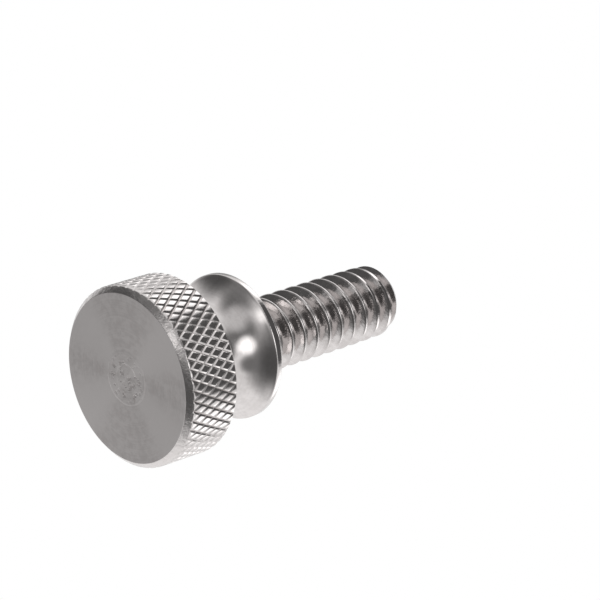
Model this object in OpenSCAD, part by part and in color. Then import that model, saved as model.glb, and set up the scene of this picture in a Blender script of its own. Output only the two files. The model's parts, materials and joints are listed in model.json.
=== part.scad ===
// Thumb screw with a diamond-knurled head, a waisted neck that flares into a seating collar,
// and a threaded shank. It is turned from one bar of steel and stands here on the face of its head,
// with its axis on +Z.

/* [Head] */
// Outside diameter of the head, over the flats of the knurl
head_d = 11.1; // [10:0.1:16]
// Height of the head, from its face to its back
head_h = 3.9; // [2.6:0.1:6]
// Chamfer between the turned face and the knurl, at 45 degrees
face_chamfer = 0.38; // [0.3:0.02:0.8]
// Chamfer that ends the knurl at the back of the head, at 45 degrees
back_chamfer = 0.24; // [0.24:0.02:0.5]

/* [Knurl] */
// Number of diamonds around the head
knurl_count = 54; // [40:1:64]
// Slope of the grooves from the axis
knurl_angle = 30; // [26:1:40]
// Lean of the whole pattern, which is what one set of grooves has over the other
knurl_lean = 3.6; // [0:0.1:5]
// Depth of the grooves
knurl_depth = 0.09; // [0.06:0.01:0.12]
// Width of a groove between the flats, measured square to the groove
groove_w = 0.2; // [0.16:0.01:0.3]

/* [Neck and collar] */
// Diameter of the neck at its narrowest
neck_d = 5.7; // [5:0.1:7.4]
// Height of that narrowest place above the back of the head
neck_rise = 0.8; // [0.6:0.05:2]
// Height from the back of the head to the seat under the collar
collar_h = 4.5; // [3.6:0.1:8]
// Diameter of the collar
collar_d = 9; // [8:0.1:11]
// Height of the straight land around the collar's rim
collar_land = 0.4; // [0.2:0.05:0.8]

/* [Shank] */
// Outside diameter of the plain part of the shank
shank_d = 4.7; // [3:0.05:5.6]
// Length of the shank, from the seat to the tip
shank_l = 12.7; // [6:0.1:40]
// Chamfer at the tip, at 45 degrees
tip_chamfer = 0.6; // [0.2:0.05:0.9]
// Length of the plain part, from the seat to the thread
plain_l = 1.6; // [1:0.1:3]
// Rise of the thread in one turn, at 24 turns to the inch
thread_pitch = 1.058; // [0.8:0.001:1.27]

/* [Hidden] */
$fn = 128;
steel = [0.70, 0.69, 0.68];

head_r = head_d / 2;
face_r = head_r - face_chamfer;
neck_r = neck_d / 2;
collar_r = collar_d / 2;
shank_r = shank_d / 2;
seat_z = head_h + collar_h;
tip_z = seat_z + shank_l;

// The neck is one arc, from the back of the head through its narrowest place to the collar's rim
neck_z = head_h + neck_rise;
rim_z = seat_z - collar_land;
flare = collar_r - neck_r;
neck_arc_r = (pow(rim_z - neck_z, 2) + pow(flare, 2)) / (2 * flare);

// The thread has flat crests and valleys, a little inside the plain part.
// It starts inside the plain part, turned as the photo shows it, and the tip cuts off its end.
thread_steps = 24;
thread_turn = 275;
thread_play = 0.03;
crest_share = 1 / 8;
depth_share = 0.6;
thread_angle = 60;
flank_share = depth_share * tan(thread_angle / 2);
crest_r = shank_r - thread_play;
valley_r = crest_r - depth_share * thread_pitch;
hidden_turns = 1.25;
thread_z = seat_z + plain_l - hidden_turns * thread_pitch;
thread_end = thread_steps * ceil((tip_z - thread_z) / thread_pitch);

// The grooves cross in whole rows between the two chamfers, and run out on them
runout = 0.05;
root_r = head_r - knurl_depth;
end_r = root_r - runout;
core_r = end_r - runout;
band_h = head_h - face_chamfer - back_chamfer;
diamond_w = PI * head_d / knurl_count;
rows = max(2, round(2 * band_h * tan(knurl_angle) / diamond_w));
row_h = band_h / rows;
// Half of the share of a diamond's width that stays flat
flat = (1 - groove_w / (diamond_w * cos(knurl_angle))) / 2;
// How far a row leans from the one below, in diamonds
lean = row_h * tan(knurl_lean) / diamond_w;

// A point on the head: its radius, its place around the head in diamonds, and its height
function around(r, place, z) =
  [r * cos(place * 360 / knurl_count), r * sin(place * 360 / knurl_count), z];

// Every second row starts half a diamond further round, less the lean
function start(row) = (row % 2) / 2 - row * lean;

// Five points stand for a diamond: the crossing on its left, then the corners of its flat,
// which are left, top, right and bottom. A diamond on the band's edge is cut in half there.
function diamond_points(row, i) =
  let (
    middle = i + start(row) + 0.5,
    z = face_chamfer + row * row_h,
    up = row == rows ? 0 : 2 * flat,
    down = row == 0 ? 0 : 2 * flat
  )
  [
    around(root_r, middle - 0.5, z),
    around(head_r, middle - flat, z),
    around(head_r, middle - up * lean, z + up * row_h),
    around(head_r, middle + flat, z),
    around(head_r, middle + down * lean, z - down * row_h)
  ];
function corner(row, i, k) = 5 * (row * knurl_count + i % knurl_count) + k;

// The groove crossings around a diamond, in the same order as its corners
function crossings(row, i) = [
  corner(row, i, 0),
  corner(row + 1, i + row % 2, 0),
  corner(row, i + 1, 0),
  corner(row - 1, i + row % 2, 0)
];

// A groove wall runs between two crossings and the two corners of the flat beside them
function wall(out, row, i, k) =
  let (next = (k + 1) % 4, here = corner(row, i, k + 1), there = corner(row, i, next + 1))
  [[out[k], out[next], there], [out[k], there, here]];

// Walls on the upper side of a diamond are 0 and 1, and on its lower side 2 and 3
function diamond_faces(row, i) = [
  [corner(row, i, 1), corner(row, i, 2), corner(row, i, 4)],
  [corner(row, i, 2), corner(row, i, 3), corner(row, i, 4)],
  for (k = [row == rows ? 2 : 0 : row == 0 ? 1 : 3]) each wall(crossings(row, i), row, i, k)
];

// Each end of the band narrows to a ring with four points to a diamond, closed by a flat disc
ring_size = 4 * knurl_count;
low_ring = 5 * knurl_count * (rows + 1);
high_ring = low_ring + ring_size;
low_middle = high_ring + ring_size;
high_middle = low_middle + 1;
low_z = end_r - face_r;
high_z = head_h - back_chamfer + head_r - end_r;
function ring_points(row, z) = [
  for (i = [0 : knurl_count - 1])
    for (place = [0, 0.5 - flat, 0.5, 0.5 + flat]) around(end_r, i + start(row) + place, z)
];
function edge(row, n) = corner(row, floor(n / 4), [0, 1, row == 0 ? 4 : 2, 3][n % 4]);
function low_end(n) =
  let (next = (n + 1) % ring_size, a = edge(0, n), b = edge(0, next))
  [
    [a, b, low_ring + next],
    [a, low_ring + next, low_ring + n],
    [low_middle, low_ring + n, low_ring + next]
  ];
function high_end(n) =
  let (next = (n + 1) % ring_size, a = edge(rows, n), b = edge(rows, next))
  [
    [high_ring + n, high_ring + next, b],
    [high_ring + n, b, a],
    [high_middle, high_ring + next, high_ring + n]
  ];

// The knurled band of the head: flat-topped diamonds between crossing grooves
module knurled_band() {
  polyhedron(
    points = [
      for (row = [0 : rows]) for (i = [0 : knurl_count - 1]) each diamond_points(row, i),
      each ring_points(0, low_z),
      each ring_points(rows, high_z),
      [0, 0, low_z],
      [0, 0, high_z]
    ],
    faces = [
      for (row = [0 : rows]) for (i = [0 : knurl_count - 1]) each diamond_faces(row, i),
      for (n = [0 : ring_size - 1]) each low_end(n),
      for (n = [0 : ring_size - 1]) each high_end(n)
    ],
    convexity = 4
  );
}

// One tooth of the thread, from valley to valley: radius, and height in shares of the pitch
tooth = [
  [valley_r, 0],
  [valley_r, 1 - crest_share - 2 * flank_share],
  [crest_r, 1 - crest_share - flank_share],
  [crest_r, 1 - flank_share]
];
tooth_size = len(tooth);

// The tooth climbs the helix in steps, and ends each turn on the first corner of the next
function on_helix(step, k) =
  let (turn = step / thread_steps, r = tooth[k][0])
  [r * cos(360 * turn), r * sin(360 * turn), thread_z + (turn + tooth[k][1]) * thread_pitch];
valley_size = thread_end + thread_steps + 1;
function tooth_corner(step, k) =
  k == 0 ? step :
  k == tooth_size ? step + thread_steps :
  valley_size + (k - 1) * (thread_end + 1) + step;
thread_low = valley_size + (tooth_size - 1) * (thread_end + 1);
thread_high = thread_low + 1;
function tooth_side(step, k) =
  let (a = tooth_corner(step, k), b = tooth_corner(step + 1, k + 1))
  [[a, tooth_corner(step, k + 1), b], [a, b, tooth_corner(step + 1, k)]];

// The threaded bar: the tooth swept up the helix, with a middle point to close each end
module threaded_bar() {
  polyhedron(
    points = [
      for (step = [0 : thread_end + thread_steps]) on_helix(step, 0),
      for (k = [1 : tooth_size - 1]) for (step = [0 : thread_end]) on_helix(step, k),
      [0, 0, thread_z + thread_pitch / 2],
      [0, 0, thread_z + (thread_end / thread_steps + 1 / 2) * thread_pitch]
    ],
    faces = [
      for (step = [0 : thread_end - 1]) for (k = [0 : tooth_size - 1]) each tooth_side(step, k),
      for (step = [0 : thread_steps - 1]) each [
        [thread_low, step, step + 1],
        [thread_high, thread_end + step + 1, thread_end + step]
      ],
      for (k = [0 : tooth_size - 1]) each [
        [thread_low, tooth_corner(0, k + 1), tooth_corner(0, k)],
        [thread_high, tooth_corner(thread_end, k), tooth_corner(thread_end, k + 1)]
      ]
    ],
    convexity = 12
  );
}

// The blank that the thread is cut on, with its chamfered tip
module shank_blank() {
  rotate_extrude() polygon([
    [0, seat_z],
    [shank_r, seat_z],
    [shank_r, tip_z - tip_chamfer],
    [shank_r - tip_chamfer, tip_z],
    [0, tip_z]
  ]);
}

// Half section of the neck and collar: a straight bar with the neck's arc turned out of it
module neck_section() {
  difference() {
    translate([0, head_h / 2]) square([collar_r, rim_z - head_h / 2]);
    translate([neck_r + neck_arc_r, neck_z]) circle(neck_arc_r);
  }
  translate([0, rim_z]) square([collar_r, collar_land]);
}

// Half section of the turned piece inside the knurl, up to the thread
module turned_section() {
  back_r = head_r - back_chamfer;
  polygon([
    [0, 0],
    [face_r, 0],
    [core_r, core_r - face_r],
    [core_r, head_h - core_r + back_r],
    [back_r, head_h],
    [0, head_h]
  ]);
  neck_section();
  translate([0, rim_z]) square([shank_r, collar_land + plain_l]);
}

module thumb_screw() {
  color(steel) {
    rotate_extrude() turned_section();
    knurled_band();
    intersection() {
      shank_blank();
      rotate([0, 0, thread_turn]) threaded_bar();
    }
  }
}

thumb_screw();
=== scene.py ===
# %% [markdown]
# A thumb screw, modelled and finished in Blender.
# The real one is turned from a steel bar: the face is faced off, the head is knurled and chamfered,
# the neck is cut to a waist, and the shank is threaded. This lesson follows the same order. Each
# piece of metal is made as its blank and its pattern, and one is cut with the other, as in a lathe.

# %% Load the frame
import json
import math

import bpy
from mathutils import Matrix, Vector


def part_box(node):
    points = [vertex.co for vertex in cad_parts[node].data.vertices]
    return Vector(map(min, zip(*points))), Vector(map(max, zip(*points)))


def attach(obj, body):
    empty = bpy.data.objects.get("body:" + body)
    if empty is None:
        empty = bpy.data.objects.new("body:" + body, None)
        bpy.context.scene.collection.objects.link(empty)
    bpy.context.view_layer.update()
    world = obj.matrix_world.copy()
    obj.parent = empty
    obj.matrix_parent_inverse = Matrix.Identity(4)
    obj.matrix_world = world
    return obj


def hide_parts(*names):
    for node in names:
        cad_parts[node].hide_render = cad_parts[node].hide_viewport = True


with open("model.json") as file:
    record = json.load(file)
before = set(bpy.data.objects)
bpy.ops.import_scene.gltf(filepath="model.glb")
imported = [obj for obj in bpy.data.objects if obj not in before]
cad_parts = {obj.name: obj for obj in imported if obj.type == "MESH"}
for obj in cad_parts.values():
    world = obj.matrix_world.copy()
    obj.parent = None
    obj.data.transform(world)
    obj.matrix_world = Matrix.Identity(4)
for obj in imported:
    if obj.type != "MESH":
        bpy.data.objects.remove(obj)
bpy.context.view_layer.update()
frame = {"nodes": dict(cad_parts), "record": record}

NODE = "thumb_screw"
print("solids of the frame:", list(frame["nodes"]))

# %% [markdown]
# The sizes come first. The frame says how wide and long the screw is, where its seat lies and how
# thick its thread is. The rest repeats the drawing. They are kept in millimetres, because Blender's
# edit tools merge and cut with small tolerances that suit numbers near 1, and the finished mesh is
# scaled to metres at the end.

# %% Sizes in millimetres
MM = 0.001
mounts = {mount["name"]: mount for mount in frame["record"]["mounts"]}
box_low, box_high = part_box(NODE)
HEAD_R = (box_high[0] - box_low[0]) / 2 / MM
TIP_Z = box_high[2] / MM
SEAT_Z = mounts["seat"]["pos_m"][2] / MM
SHANK_R = mounts["shank"]["dims"]["r_mm"]

HEAD_H = 3.9
FACE_CHAMFER = 0.38
BACK_CHAMFER = 0.24
FACE_R = HEAD_R - FACE_CHAMFER
NECK_R = 2.85
NECK_RISE = 0.8
NECK_Z = HEAD_H + NECK_RISE
COLLAR_R = 4.5
COLLAR_LAND = 0.4
RIM_Z = SEAT_Z - COLLAR_LAND
PLAIN_L = 1.6
THREAD_PLAY = 0.03
THREAD_R = SHANK_R - THREAD_PLAY
TIP_CHAMFER = 0.6
# How far a blank stands proud of the pattern that is cut into it
PROUD = 0.15
print(f"head {2 * HEAD_R:.2f} mm, seat at {SEAT_Z:.2f} mm, tip at {TIP_Z:.2f} mm")

# %% [markdown]
# A lathe makes rings, so most of the screw is made from rings too. A circle is added, and its edge
# is extruded from one place of the half section to the next, wider or narrower each time. This
# keeps every face a clean quad and needs no seam, which spinning an outline would leave.

# %% Tools for turning
RING_POINTS = 144


def walk(section):
    """Extrudes the selected ring through the (radius, height) places of a half section."""
    radius, height = section[0]
    for next_radius, next_height in section[1:]:
        rise = (0, 0, next_height - height)
        bpy.ops.mesh.extrude_region_move(TRANSFORM_OT_translate={"value": rise})
        grow = next_radius / radius
        bpy.ops.transform.resize(value=(grow, grow, 1), center_override=(0, 0, next_height))
        radius, height = next_radius, next_height


def turn(name, section, pointed=False):
    """A closed round solid from a half section. A pointed one ends on the axis."""
    bpy.ops.object.select_all(action="DESELECT")
    bpy.ops.mesh.primitive_circle_add(vertices=RING_POINTS, radius=section[0][0])
    piece = bpy.context.object
    piece.name = name
    bpy.ops.object.mode_set(mode="EDIT")
    bpy.ops.mesh.select_mode(type="VERT")
    bpy.ops.transform.translate(value=(0, 0, section[0][1]))
    walk(section)
    if pointed:
        bpy.ops.mesh.merge(type="CENTER")
    bpy.ops.mesh.select_all(action="SELECT")
    bpy.ops.mesh.fill_holes(sides=0)
    bpy.ops.mesh.normals_make_consistent(inside=False)
    bpy.ops.object.mode_set(mode="OBJECT")
    return piece


print(f"turned rings have {RING_POINTS} points")

# %% Tools for rounding and cutting
ROUND_SEGMENTS = 3
# Places nearer to each other than this are one place
PICK = 1e-4


def round_rings(piece, rings, width):
    """Bevels the edges that lie on the given (radius, height) rings."""
    bpy.ops.object.mode_set(mode="EDIT")
    bpy.ops.mesh.select_all(action="DESELECT")
    bpy.ops.object.mode_set(mode="OBJECT")
    places = [(math.hypot(*vertex.co.xy), vertex.co.z) for vertex in piece.data.vertices]
    for edge in piece.data.edges:
        ends = [places[index] for index in edge.vertices]
        edge.select = any(all(math.dist(end, ring) < PICK for end in ends) for ring in rings)
    bpy.ops.object.mode_set(mode="EDIT")
    bpy.ops.mesh.select_mode(type="EDGE")
    bpy.ops.mesh.bevel(offset=width, segments=ROUND_SEGMENTS, affect="EDGES")
    bpy.ops.object.mode_set(mode="OBJECT")


def combine(piece, tool, operation):
    """Cuts, keeps or joins with another solid, which is then gone."""
    bpy.ops.object.select_all(action="DESELECT")
    bpy.context.view_layer.objects.active = piece
    piece.select_set(True)
    cut = piece.modifiers.new(tool.name, "BOOLEAN")
    cut.operation = operation
    cut.solver = "EXACT"
    cut.object = tool
    bpy.ops.object.modifier_apply(modifier=cut.name)
    bpy.data.objects.remove(tool)
    print(f"{piece.name}: {len(piece.data.polygons)} faces")
    return piece


print(f"rounds have {ROUND_SEGMENTS} segments")

# %% [markdown]
# The blank of the head has the faced end, a chamfer at each edge and a plain side that stands a
# little proud, because the knurl will take it away. Facing leaves a low boss near the middle, where
# the tool slows down, with a hollow in it and a dimple at the centre. These are real steps in the
# mesh, a few hundredths of a millimetre high, which is enough to catch the light. A ring of edges on
# each side of a step keeps its shading from spreading over the face. The front edge of the knurl is
# turned down to a low shoulder, where the diamonds fade out before the chamfer.

# %% Blank of the head
# Radius of the ring that a blank starts on, inside the metal
INSIDE_R = 1.5
BOSS_R = 1.65
HOLLOW_R = 0.87
STEP_W = 0.035
STEP_H = 0.03
DIMPLE_R = 0.2
DIMPLE_DEPTH = 0.06
# Shares of the dimple's radius at which its wall bends and its floor begins, the first also of its depth
DIMPLE_WALL = 0.7
DIMPLE_FLOOR = 0.3
SHOULDER_DROP = 0.04
SHOULDER_L = 0.12
EDGE_ROUND = 0.03

proud_r = HEAD_R + PROUD
shoulder_r = HEAD_R - SHOULDER_DROP
shoulder_z = FACE_CHAMFER - SHOULDER_DROP
shoulder_slope = SHOULDER_L / SHOULDER_DROP
head = turn(
    "head",
    [
        (INSIDE_R, HEAD_H),
        (HEAD_R - BACK_CHAMFER, HEAD_H),
        (proud_r, HEAD_H - BACK_CHAMFER - PROUD),
        (proud_r, shoulder_z + shoulder_slope * (proud_r - shoulder_r)),
        (shoulder_r, shoulder_z),
        (FACE_R, 0),
        (BOSS_R + 2 * STEP_W, STEP_H),
        (BOSS_R + STEP_W, STEP_H),
        (BOSS_R - STEP_W, 0),
        (BOSS_R - 2 * STEP_W, 0),
        (HOLLOW_R + 2 * STEP_W, 0),
        (HOLLOW_R + STEP_W, 0),
        (HOLLOW_R - STEP_W, STEP_H),
        (HOLLOW_R - 2 * STEP_W, STEP_H),
        (DIMPLE_R + STEP_W, STEP_H),
        (DIMPLE_R, STEP_H),
        (DIMPLE_R * DIMPLE_WALL, DIMPLE_DEPTH * DIMPLE_WALL),
        (DIMPLE_R * DIMPLE_FLOOR, DIMPLE_DEPTH),
    ],
    pointed=True,
)
round_rings(head, [(FACE_R, 0)], EDGE_ROUND)
round_rings(head, [(shoulder_r, shoulder_z)], EDGE_ROUND)
print(f"head blank: {len(head.data.polygons)} faces")

# %% [markdown]
# The knurl is rolled into the bar by two wheels with slanted teeth, whose grooves cross and leave
# rows of diamonds. A bump map would miss it at the edge of the head, so it is a mesh. A tube with
# two columns to a diamond is un-subdivided once, which turns its squares into diamonds, and an
# inset of each face then leaves a flat with sloping walls, so that grooves run between them.

# %% Knurled bar
KNURL_COUNT = 54
KNURL_ROWS = 6
KNURL_DEPTH = 0.09
GROOVE_W = 0.2
SPARE_ROWS = 2
KNURL_LEAN = math.radians(3.6)
row_h = (HEAD_H - FACE_CHAMFER - BACK_CHAMFER) / KNURL_ROWS
row_turn = row_h * math.tan(KNURL_LEAN) / HEAD_R
bar_z = FACE_CHAMFER - SPARE_ROWS * row_h
root_r = HEAD_R - KNURL_DEPTH

bpy.ops.object.select_all(action="DESELECT")
bpy.ops.mesh.primitive_circle_add(vertices=2 * KNURL_COUNT, radius=root_r)
knurl = bpy.context.object
knurl.name = "knurled_bar"
bpy.ops.object.mode_set(mode="EDIT")
bpy.ops.transform.translate(value=(0, 0, bar_z))
for row in range(KNURL_ROWS + 2 * SPARE_ROWS):
    bpy.ops.mesh.extrude_region_move(TRANSFORM_OT_translate={"value": (0, 0, row_h)})
    bpy.ops.transform.rotate(value=row_turn, orient_axis="Z", center_override=(0, 0, 0))
bpy.ops.mesh.select_all(action="SELECT")
bpy.ops.mesh.normals_make_consistent(inside=False)
bpy.ops.mesh.unsubdivide(iterations=1)
bpy.ops.mesh.select_all(action="SELECT")
bpy.ops.mesh.inset(thickness=GROOVE_W / 2, depth=KNURL_DEPTH, use_individual=True)
bpy.ops.object.mode_set(mode="OBJECT")
flats = [face for face in knurl.data.polygons if face.select]
flat_r = max(math.hypot(*knurl.data.vertices[v].co.xy) for face in flats for v in face.vertices)
print(f"knurled bar: {len(flats)} flats at {flat_r:.3f} mm before sizing")

# %% Flats brought to size and rounded
FLAT_ROUND = 0.025
FLAT_SEGMENTS = 2
grow = HEAD_R / flat_r
bpy.ops.object.mode_set(mode="EDIT")
bpy.ops.mesh.select_mode(type="FACE")
bpy.ops.transform.resize(value=(grow, grow, 1), center_override=(0, 0, 0))
bpy.ops.mesh.region_to_loop()
bpy.ops.mesh.bevel(offset=FLAT_ROUND, segments=FLAT_SEGMENTS, affect="EDGES")
bpy.ops.mesh.select_all(action="SELECT")
bpy.ops.mesh.fill_holes(sides=0)
bpy.ops.mesh.normals_make_consistent(inside=False)
bpy.ops.object.mode_set(mode="OBJECT")
combine(head, knurl, "INTERSECT")

# %% [markdown]
# The neck is one smooth arc from the back of the head to the collar's rim. It is the brightest
# polish on the screw, so it has many rings: a mirror shows every flat. Its lower end starts inside
# the head, so that the two solids join cleanly. Behind the collar follows the plain part of the
# shank, which the thread doesn't reach.

# %% Neck and collar
NECK_RINGS = 36
START_IN_HEAD = 0.4
RIM_ROUND = 0.06
flare = COLLAR_R - NECK_R
neck_arc = ((RIM_Z - NECK_Z) ** 2 + flare**2) / (2 * flare)


def neck_radius(z):
    return NECK_R + neck_arc - math.sqrt(neck_arc**2 - (z - NECK_Z) ** 2)


neck_start = HEAD_H - START_IN_HEAD
neck_section = [(INSIDE_R, neck_start)]
for step in range(NECK_RINGS + 1):
    z = neck_start + (RIM_Z - neck_start) * step / NECK_RINGS
    neck_section.append((neck_radius(z), z))
plain_z = SEAT_Z + PLAIN_L
neck_section += [(COLLAR_R, SEAT_Z), (SHANK_R, SEAT_Z), (SHANK_R, plain_z), (INSIDE_R, plain_z)]
neck = turn("neck", neck_section)
round_rings(neck, [(COLLAR_R, RIM_Z), (COLLAR_R, SEAT_Z)], RIM_ROUND)
print(f"neck narrows to {NECK_R:.2f} mm at {NECK_Z:.2f} mm")
combine(head, neck, "UNION")

# %% [markdown]
# A thread is one tooth outline swept along a helix. The Screw modifier does that: it carries one
# turn's outline up by the pitch in every turn and welds the turns together. The flanks are those of
# the drawing. Crest and root are rounded, as on a rolled thread: a parabola that touches both flanks
# is twice as wide as the flat it replaces. Two points near the ends of each flank keep the smooth
# shading of the rounds from spreading over it. The ragged ends of the sweep are cut off square with
# a bisect that fills the cut.

# %% Tooth of the thread
PITCH = 1.058
THREAD_DEPTH = 0.6 * PITCH
FLANK_SLOPE = math.tan(math.radians(60))
CREST_W = PITCH / 8
ROOT_W = PITCH - CREST_W - 2 * THREAD_DEPTH / FLANK_SLOPE
ROUND_STEPS = 6
FLANK_ENDS = (0.08, 0.92)
minor_r = THREAD_R - THREAD_DEPTH


def thread_outline():
    """One tooth as (radius, height): half a root, a flank, the crest, a flank and half a root."""
    rounding = [step / ROUND_STEPS for step in range(ROUND_STEPS + 1)]
    root_rise = FLANK_SLOPE * ROOT_W / 2
    crest_drop = FLANK_SLOPE * CREST_W / 2
    low = Vector((minor_r + root_rise, ROOT_W))
    high = Vector((THREAD_R - crest_drop, PITCH / 2 - CREST_W))
    half = [(minor_r + root_rise * share**2, ROOT_W * share) for share in rounding]
    half += [tuple(low.lerp(high, share)) for share in FLANK_ENDS]
    for share in reversed(rounding):
        half.append((THREAD_R - crest_drop * share**2, PITCH / 2 - CREST_W * share))
    return half + [(radius, PITCH - z) for radius, z in reversed(half[:-1])]


outline = thread_outline()
print(f"tooth: {len(outline)} points, {THREAD_DEPTH:.3f} mm deep")

# %% Tooth swept along the helix
THREAD_STEPS = 96
# From the end of the plain part to the first crest on the +X side, in turns
FIRST_CREST = 0.577
HIDDEN_TURNS = 3
SPARE_TURNS = 2
bpy.ops.object.select_all(action="DESELECT")
bpy.ops.mesh.primitive_plane_add()
thread = bpy.context.object
thread.name = "threaded_bar"
bpy.ops.object.mode_set(mode="EDIT")
bpy.ops.mesh.select_mode(type="VERT")
bpy.ops.mesh.select_all(action="SELECT")
bpy.ops.mesh.merge(type="CENTER")
thread_start = plain_z + (FIRST_CREST - HIDDEN_TURNS - 1 / 2) * PITCH
bpy.ops.transform.translate(value=(outline[0][0], 0, thread_start))
for (r0, z0), (r1, z1) in zip(outline, outline[1:]):
    bpy.ops.mesh.extrude_region_move(TRANSFORM_OT_translate={"value": (r1 - r0, 0, z1 - z0)})
bpy.ops.object.mode_set(mode="OBJECT")
sweep = thread.modifiers.new("helix", "SCREW")
sweep.screw_offset = PITCH
sweep.iterations = math.ceil((TIP_Z - thread_start) / PITCH) + SPARE_TURNS
sweep.steps = THREAD_STEPS
sweep.render_steps = THREAD_STEPS
sweep.use_merge_vertices = True
sweep.merge_threshold = PICK
bpy.ops.object.modifier_apply(modifier=sweep.name)
print(f"sweep: {len(thread.data.polygons)} faces")

# %% Square ends of the threaded bar
CUT_SLACK = 1e-6
low_cut = plain_z - PITCH
high_cut = TIP_Z + PITCH
square = {"plane_no": (0, 0, 1), "use_fill": True, "threshold": CUT_SLACK}
bpy.ops.object.mode_set(mode="EDIT")
bpy.ops.mesh.select_all(action="SELECT")
bpy.ops.mesh.remove_doubles(threshold=PICK)
bpy.ops.mesh.bisect(plane_co=(0, 0, low_cut), clear_inner=True, **square)
bpy.ops.mesh.select_all(action="SELECT")
bpy.ops.mesh.bisect(plane_co=(0, 0, high_cut), clear_outer=True, **square)
bpy.ops.mesh.select_all(action="SELECT")
bpy.ops.mesh.normals_make_consistent(inside=False)
bpy.ops.object.mode_set(mode="OBJECT")
print(f"thread: pitch {PITCH:.3f} mm, {len(thread.data.polygons)} faces")

# %% [markdown]
# The blank of the shank carries the chamfer of the tip. Keeping what the blank and the threaded bar
# share chamfers the last turns of the thread, as on a real screw. The blank also tapers a little
# towards the tip, which leaves the last crests worn flat, and these flats catch the light. The
# shank then joins the collar.

# %% Shank
WORN_DEPTH = 0.07
WORN_L = 3.2
shank_r = THREAD_R + PROUD
shank_start = plain_z - PITCH / 2
worn_end = TIP_Z - TIP_CHAMFER
taper_l = WORN_L * (WORN_DEPTH + PROUD) / WORN_DEPTH
shank = turn(
    "shank",
    [
        (INSIDE_R / 2, shank_start),
        (shank_r, shank_start),
        (shank_r, worn_end - taper_l),
        (THREAD_R - WORN_DEPTH, worn_end),
        (THREAD_R - TIP_CHAMFER, TIP_Z),
        (INSIDE_R / 4, TIP_Z),
    ],
    pointed=True,
)
round_rings(shank, [(THREAD_R - TIP_CHAMFER, TIP_Z)], EDGE_ROUND)
combine(shank, thread, "INTERSECT")
screw = combine(head, shank, "UNION")

# %% [markdown]
# The screw is now one closed solid. It is cleaned of doubled points, scaled to metres and shaded
# smooth, with edges sharper than a set angle left crisp.

# %% One clean mesh in metres
SHARP = math.radians(33)
bpy.ops.object.mode_set(mode="EDIT")
bpy.ops.mesh.select_all(action="SELECT")
bpy.ops.mesh.remove_doubles(threshold=PICK)
bpy.ops.mesh.dissolve_degenerate(threshold=PICK)
bpy.ops.mesh.normals_make_consistent(inside=False)
bpy.ops.object.mode_set(mode="OBJECT")
screw.name = "knurled_thumb_screw"
screw.scale = (MM, MM, MM)
bpy.ops.object.transform_apply(location=True, rotation=True, scale=True)
bpy.ops.object.shade_smooth_by_angle(angle=SHARP)
bpy.ops.object.mode_set(mode="EDIT")
bpy.ops.mesh.select_all(action="DESELECT")
bpy.ops.mesh.select_mode(type="VERT")
bpy.ops.mesh.select_non_manifold()
bpy.ops.object.mode_set(mode="OBJECT")
open_points = sum(vertex.select for vertex in screw.data.vertices)
print(f"screw: {len(screw.data.polygons)} faces, {open_points} points on open edges")

# %% [markdown]
# Finishes are node trees. Writing them as sums in Python keeps them short: a small class wraps a
# socket, and adding or multiplying two of them adds the Math node that does it. Every other node
# comes from one method that takes the node's type, its settings and what goes into its sockets.


# %% Sums for shaders
class Wire:
    """A socket that takes part in sums as a number does."""

    def __init__(self, tree, socket):
        self.tree = tree
        self.socket = socket

    def maths(self, operation, *values):
        return Nodes(self.tree).make("ShaderNodeMath", {"operation": operation}, dict(enumerate(values)))

    def __add__(self, other):
        return self.maths("ADD", self, other)

    def __radd__(self, other):
        return self.maths("ADD", other, self)

    def __sub__(self, other):
        return self.maths("SUBTRACT", self, other)

    def __rsub__(self, other):
        return self.maths("SUBTRACT", other, self)

    def __mul__(self, other):
        return self.maths("MULTIPLY", self, other)

    def __rmul__(self, other):
        return self.maths("MULTIPLY", other, self)

    def __pow__(self, power):
        return self.maths("POWER", self, power)


class Nodes:
    """Adds nodes to one tree."""

    def __init__(self, tree):
        self.tree = tree

    def make(self, kind, settings=None, sockets=None, output=0):
        node = self.tree.nodes.new(kind)
        for name, value in (settings or {}).items():
            setattr(node, name, value)
        for name, value in (sockets or {}).items():
            if isinstance(value, Wire):
                self.tree.links.new(value.socket, node.inputs[name])
            else:
                node.inputs[name].default_value = value
        return Wire(self.tree, node.outputs[output])

    def smooth(self, value, start, end):
        """Rises softly from 0 where the value is at the start to 1 where it is at the end."""
        settings = {"interpolation_type": "SMOOTHSTEP"}
        sockets = {"Value": value, "From Min": start, "From Max": end}
        return self.make("ShaderNodeMapRange", settings, sockets)

    def blend(self, share, first, second):
        """The first colour, with a share of the second."""
        sockets = {"Factor": share, 6: first, 7: second}
        return self.make("ShaderNodeMix", {"data_type": "RGBA"}, sockets, 2)


print("shader sums ready")

# %% [markdown]
# All the finishes are the same bright steel, cut in different ways. Each reads the place on the
# screw: its distance from the axis for marks left by facing, its height for marks left by turning.
# The marks feed a fine bump and a little change of gloss, and a coarser noise dulls the steel in
# patches. On rolled surfaces the same noise also lifts the bump, because they are a little lumpy.

# %% Places and noise on the screw
NOISE_LOOK = {"Detail": 3.0, "Roughness": 0.6}
NOISE_MEAN = 0.5


def place_on_screw(nodes):
    """The place on the screw, and its x, y and z, in millimetres."""
    metres = nodes.make("ShaderNodeTexCoord", output="Object")
    place = nodes.make("ShaderNodeVectorMath", {"operation": "SCALE"}, {0: metres, "Scale": 1 / MM})
    parts = [nodes.make("ShaderNodeSeparateXYZ", sockets={"Vector": place}, output=i) for i in range(3)]
    return place, *parts


def from_axis(x, y):
    return (x * x + y * y) ** 0.5


def noise(nodes, place, per_mm):
    sockets = {"Vector": place, "Scale": per_mm, **NOISE_LOOK}
    return nodes.make("ShaderNodeTexNoise", {"noise_dimensions": "3D"}, sockets)


def tool_marks(nodes, along, per_mm):
    sockets = {"W": along * per_mm, "Scale": 1.0, **NOISE_LOOK}
    return nodes.make("ShaderNodeTexNoise", {"noise_dimensions": "1D"}, sockets)


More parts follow.
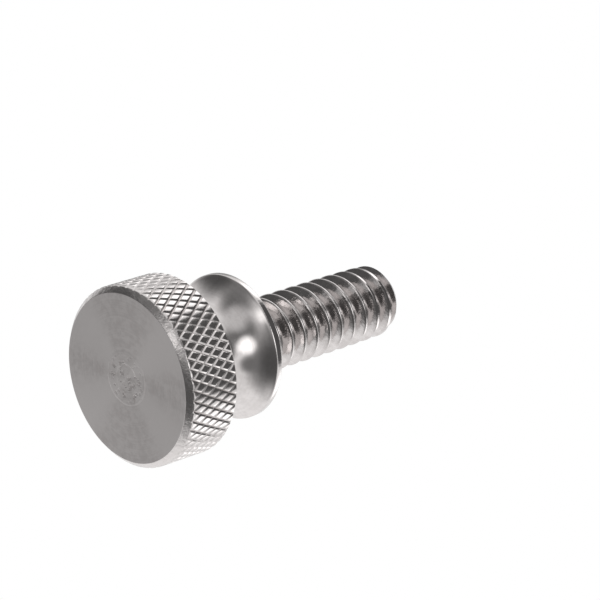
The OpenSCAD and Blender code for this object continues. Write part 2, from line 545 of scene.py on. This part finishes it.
print("noise:", NOISE_LOOK)

# %% Steel
STEEL = (0.665, 0.635, 0.627, 1)
# Dull steel for patches and tears, and also the painted shade between the face's wedges
DULL_AND_SHADED_STEEL = (0.465, 0.435, 0.427, 1)
PATCHES_PER_MM = 1.1
LUMPS_PER_MM = 3.0
# Shares of the three kinds of noise in what dulls the steel, and the sums at which it starts and is full
LINE_SHARE = 0.2
PATCH_SHARE = 0.4
LUMP_SHARE = 0.4
DULL_START = 0.4
DULL_FULL = 0.6


def steel(name, roughness, marks, per_mm, mark_depth, gloss_change=0.05, lump_depth=0.0, dullness=0.3):
    """A steel finish with tool marks along the "radius" or the "height". Depths are in millimetres."""
    material = bpy.data.materials.new(name)
    material.use_nodes = True
    tree = material.node_tree
    nodes = Nodes(tree)
    shader = tree.nodes["Principled BSDF"]
    place, x, y, z = place_on_screw(nodes)
    along = from_axis(x, y) if marks == "radius" else z
    lines = tool_marks(nodes, along, per_mm)
    patches = noise(nodes, place, PATCHES_PER_MM)
    lumps = noise(nodes, place, LUMPS_PER_MM)
    gloss = roughness + gloss_change * (lines - NOISE_MEAN) + gloss_change * (patches - NOISE_MEAN)
    stain = LINE_SHARE * lines + PATCH_SHARE * patches + LUMP_SHARE * lumps
    dull = dullness * nodes.smooth(stain, DULL_START, DULL_FULL)
    height = mark_depth * lines + lump_depth * lumps
    bump = nodes.make("ShaderNodeBump", sockets={"Strength": 1.0, "Distance": MM, "Height": height})
    tree.links.new(gloss.socket, shader.inputs["Roughness"])
    tree.links.new(nodes.blend(dull, STEEL, DULL_AND_SHADED_STEEL).socket, shader.inputs["Base Color"])
    tree.links.new(bump.socket, shader.inputs["Normal"])
    shader.inputs["Metallic"].default_value = 1.0
    return material


print("steel:", STEEL[:3])

# %% Finishes
finishes = {
    "faced steel": steel(
        "faced_steel", roughness=0.34, marks="radius", per_mm=9.0, mark_depth=0.0012,
        gloss_change=0.10, dullness=0.5,
    ),
    "turned chamfer": steel(
        "turned_chamfer", roughness=0.20, marks="height", per_mm=9.0, mark_depth=0.0004, lump_depth=0.03
    ),
    "knurled steel": steel(
        "knurled_steel", roughness=0.20, marks="height", per_mm=9.0, mark_depth=0.0004, lump_depth=0.006
    ),
    "polished neck": steel(
        "polished_neck", roughness=0.15, marks="height", per_mm=7.0, mark_depth=0.0003, gloss_change=0.03
    ),
    "rolled thread": steel(
        "rolled_thread", roughness=0.13, marks="radius", per_mm=6.0, mark_depth=0.0010,
        lump_depth=0.016, dullness=0.5,
    ),
}
print("finishes:", ", ".join(finishes))

# %% [markdown]
# The faced end has one thing more. On a part faced on a lathe, the fine rings throw the light of the
# room out in a few pale wedges from the centre. Here those wedges are a painted highlight in the
# colour, fixed to the face. Each wedge is the dot product of two directions: the way out from the
# axis, and the middle of the wedge. The whole face is first darkened a little, and its colour is
# lightened again in the wedges, so the wedges are painted highlight and the gaps are painted shade.
# Near the centre the tool moves too slowly to cut cleanly, so the boss is torn: a fine noise, kept
# to the boss, dulls and dents it in spots. An even anisotropy stretches the highlight across the
# rings.

# %% Painted highlight wedges on the face
# In degrees round the axis, from -X towards -Y
# Middles of the wedges of painted highlight
WEDGE_ANGLES = (77, 150, -30, -100)
WEDGE_HALF_WIDTH = 30
# How far the colour is lifted towards bright steel in the wedges: the painted highlight
WEDGE_GAIN = 0.9
# How far the whole face is first darkened, which leaves painted shade in the gaps between the wedges
GAP_PAINTED_SHADE = 0.15
FACE_ANISOTROPY = 0.6
tree = finishes["faced steel"].node_tree
nodes = Nodes(tree)
shader = tree.nodes["Principled BSDF"]
place, x, y, _ = place_on_screw(nodes)
flat = nodes.make("ShaderNodeCombineXYZ", sockets={"X": x, "Y": y})
outward = nodes.make("ShaderNodeVectorMath", {"operation": "NORMALIZE"}, {0: flat})
wedges = 0.0
for angle in WEDGE_ANGLES:
    middle = (-math.cos(math.radians(angle)), -math.sin(math.radians(angle)), 0)
    facing = nodes.make("ShaderNodeVectorMath", {"operation": "DOT_PRODUCT"}, {0: outward, 1: middle}, 1)
    wedges = nodes.smooth(facing, math.cos(math.radians(WEDGE_HALF_WIDTH)), 1.0) + wedges
colour = Wire(tree, shader.inputs["Base Color"].links[0].from_socket)
# Painted shade: the face's colour darkened evenly, and only the wedges lift it again
painted_shade_colour = nodes.blend(GAP_PAINTED_SHADE, colour, DULL_AND_SHADED_STEEL)
# Painted highlight: the colour lightened in the wedges
painted_highlight_colour = nodes.blend(WEDGE_GAIN * wedges, painted_shade_colour, STEEL)
shader.inputs["Anisotropic"].default_value = FACE_ANISOTROPY
print("wedges on the face:", len(WEDGE_ANGLES))

# %% Torn boss
TEARS_PER_MM = 2.4
TEAR_DEPTH = 0.02
TEAR_DULLNESS = 0.8
# The noise at which a tear starts and is full, and the same for the distance from the axis
TEAR_START = 0.53
TEAR_FULL = 0.62
TORN_START_R = 1.1 * BOSS_R
TORN_FULL_R = 0.7 * BOSS_R
on_boss = nodes.smooth(from_axis(x, y), TORN_START_R, TORN_FULL_R)
tears = on_boss * nodes.smooth(noise(nodes, place, TEARS_PER_MM), TEAR_START, TEAR_FULL)
torn = nodes.blend(TEAR_DULLNESS * tears, painted_highlight_colour, DULL_AND_SHADED_STEEL)
tree.links.new(torn.socket, shader.inputs["Base Color"])
facing_marks = Wire(tree, shader.inputs["Normal"].links[0].from_socket)
sockets = {"Strength": 1.0, "Distance": MM, "Height": -TEAR_DEPTH * tears, "Normal": facing_marks}
tree.links.new(nodes.make("ShaderNodeBump", sockets=sockets).socket, shader.inputs["Normal"])
print(f"torn boss: {TORN_START_R:.2f} mm from the axis")

# %% [markdown]
# The finishes are put on by place. The face, chamfer, knurl, neck and shank follow each other up
# the axis, so a face's height and the way it points say which finish it has.

# %% Finishes by place
FACING_DOWN = -0.9
LEANING_DOWN = -0.2
SIDEWAYS = 0.1


def finish_at(face):
    """Which finish a face has, from its middle and its normal."""
    z = face.center.z / MM
    around = Vector((-face.center.y, face.center.x, 0)).normalized()
    if z < FACE_CHAMFER and face.normal.z < FACING_DOWN:
        return "faced steel"
    is_turned = face.normal.z < LEANING_DOWN and abs(face.normal.dot(around)) < SIDEWAYS
    if z < FACE_CHAMFER + SHOULDER_L and is_turned:
        return "turned chamfer"
    if z < HEAD_H - PICK:
        return "knurled steel"
    if z > SEAT_Z + PICK:
        return "rolled thread"
    return "polished neck"


order = list(finishes)
for material in finishes.values():
    screw.data.materials.append(material)
counts = dict.fromkeys(order, 0)
for face in screw.data.polygons:
    finish = finish_at(face)
    face.material_index = order.index(finish)
    counts[finish] += 1
print("faces of each finish:", counts)

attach(screw, "root")
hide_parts(NODE)

# %% [markdown]
# The photograph looks at the face of the head from a little to one side, with a long lens. The
# camera is set from five numbers that were measured on it: how far the axis turns away from the
# view, how much it rises across the picture, where the middle of the face lies, how many pixels the
# head's radius covers there, and the distance in head radii.

# %% Camera
IMAGE = 600
SENSOR = 36.0
VIEW_TURN = math.radians(48.4)
VIEW_RISE = math.radians(17.38)
FACE_MIDDLE_PX = (126.1, 378.6)
HEAD_RADIUS_PX = 94.7
VIEW_DISTANCE = 32.0

near = Vector((0, -math.sin(VIEW_TURN), -math.cos(VIEW_TURN)))
along = Vector((0, -math.cos(VIEW_TURN), math.sin(VIEW_TURN)))
across = near.cross(along)
right = math.cos(VIEW_RISE) * along - math.sin(VIEW_RISE) * across
up = math.sin(VIEW_RISE) * along + math.cos(VIEW_RISE) * across
head_m = HEAD_R * MM
shift_right = (FACE_MIDDLE_PX[0] - IMAGE / 2) / HEAD_RADIUS_PX * head_m
shift_up = (IMAGE / 2 - FACE_MIDDLE_PX[1]) / HEAD_RADIUS_PX * head_m
eye = VIEW_DISTANCE * head_m * near - shift_right * right - shift_up * up

bpy.ops.object.camera_add()
camera = bpy.context.object
camera.matrix_world = Matrix.Translation(eye) @ Matrix((right, up, near)).transposed().to_4x4()
camera.data.sensor_width = SENSOR
camera.data.lens = SENSOR * HEAD_RADIUS_PX * VIEW_DISTANCE / IMAGE
camera.data.clip_start = MM
bpy.context.scene.camera = camera
print(f"camera {eye.length / MM:.0f} mm away with a {camera.data.lens:.0f} mm lens")

# %% [markdown]
# Bare metal is a mirror, so what it looks like is mostly the room round it. The room here is white,
# as the background is, with soft panels: dark ones stand where a photographer would put black card to
# give steel its depth, and small bright ones are the windows that make highlights. Each is set by
# the place where it is seen on the screw, and the law of reflection says where it then hangs. The
# panels lie on the world by direction, so they need no objects that could come into view.

# %% Plan of the room
# How far each zone leans from facing straight out to facing as the head's face does, in degrees.
# The neck leans more and more up to the collar's rim, where it leans about as the front chamfer does.
ZONE_TILT = {"knurl": 0, "neck": 30, "flare": 40, "rim": 50, "flank": 60, "face": 90}
WALL_BRIGHTNESS = 1.0
PANELS = (
    # the zone and the angle round the axis that mirror it, from -X towards -Y, how far from its middle
    # it starts to fade and ends, and its brightness
    ("rim", 170, 15, 40, 1.1),
    ("rim", 115, 30, 55, 0.4),
    ("knurl", 90, 35, 45, 0.1),
    ("flank", 15, 15, 50, 0.1),
    ("knurl", 15, 10, 30, 0.4),
    ("face", 90, 15, 40, 0.45),
    ("neck", 80, 15, 35, 0.2),
    ("flare", 50, 5, 35, 0.2),
    ("flank", 135, 5, 30, 1.0),
    ("flank", 80, 5, 25, 0.0),
    ("flank", 70, 5, 15, 0.5),
    ("flank", 50, 5, 20, 0.1),
    ("rim", 115, 5, 40, 0.1),
    ("neck", 115, 5, 20, 0.2),
    ("neck", 65, 5, 30, 0.7),
    ("knurl", 50, 5, 20, 2.0),
    ("knurl", 135, 5, 20, 2.0),
    ("neck", 95, 0, 20, 2.0),
    ("rim", 75, 0, 10, 1.6),
)


def mirrored(zone, angle):
    """The direction that the camera sees mirrored in a zone, at an angle round the axis."""
    tilt = math.radians(ZONE_TILT[zone])
    turned = math.radians(angle)
    width = math.cos(tilt)
    normal = Vector((-width * math.cos(turned), -width * math.sin(turned), -math.sin(tilt)))
    return 2 * normal.dot(near) * normal - near


print("panels of the room:", len(PANELS))

# %% Room
world = bpy.data.worlds.new("white_room")
world.use_nodes = True
bpy.context.scene.world = world
room = Nodes(world.node_tree)
background = world.node_tree.nodes["Background"]
direction = room.make("ShaderNodeTexCoord", output=0)
light = WALL_BRIGHTNESS
for zone, angle, inner, outer, brightness in PANELS:
    sockets = {0: direction, 1: mirrored(zone, angle)}
    facing = room.make("ShaderNodeVectorMath", {"operation": "DOT_PRODUCT"}, sockets, 1)
    panel = room.smooth(facing, math.cos(math.radians(outer)), math.cos(math.radians(inner)))
    light = light + panel * (brightness - light)
seen = room.make("ShaderNodeLightPath", output=0)
strength = seen + (1 - seen) * light
world.node_tree.links.new(strength.socket, background.inputs["Strength"])
background.inputs["Color"].default_value = (1, 1, 1, 1)
print(f"room: walls at {WALL_BRIGHTNESS}")

# %% [markdown]
# The screw stands on its head on a pale floor. The photograph looks up at that face, so the floor
# is clear from below, and it leaves the reflections alone. A soft lamp from above gives the
# screw a shadow to stand in.

# %% Floor
FLOOR_GAP = 0.02 * MM
FLOOR_SIZE = 2.0
PALE = (0.9, 0.9, 0.9, 1)
bpy.ops.object.select_all(action="DESELECT")
bpy.ops.mesh.primitive_plane_add(size=FLOOR_SIZE, location=(0, 0, -FLOOR_GAP))
floor = bpy.context.object
floor.name = "pale_floor"
floor.visible_glossy = False
floor.visible_diffuse = False
floor.visible_transmission = False
floor.visible_shadow = False
pale = bpy.data.materials.new("pale_floor")
pale.use_nodes = True
paint = Nodes(pale.node_tree)
below = paint.make("ShaderNodeNewGeometry", output="Backfacing")
matt = paint.make("ShaderNodeBsdfDiffuse", sockets={"Color": PALE})
clear = paint.make("ShaderNodeBsdfTransparent")
either = paint.make("ShaderNodeMixShader", sockets={0: below, 1: matt, 2: clear})
pale.node_tree.links.new(either.socket, pale.node_tree.nodes["Material Output"].inputs["Surface"])
floor.data.materials.append(pale)
print(f"floor {FLOOR_SIZE:.0f} m wide")

# %% Lamp
LAMP_HEIGHT = 0.25
LAMP_ASIDE = LAMP_HEIGHT / 3
LAMP_SIZE = 0.12
LAMP_POWER = 0.6
bpy.ops.object.light_add(type="AREA", location=(-LAMP_ASIDE, -LAMP_ASIDE, LAMP_HEIGHT))
lamp = bpy.context.object
lamp.data.size = LAMP_SIZE
lamp.data.energy = LAMP_POWER
lamp.rotation_euler = Vector(lamp.location).to_track_quat("Z", "Y").to_euler()
lamp.visible_glossy = False
bpy.context.scene.view_settings.view_transform = "Standard"
print(f"lamp {LAMP_HEIGHT} m above the floor")
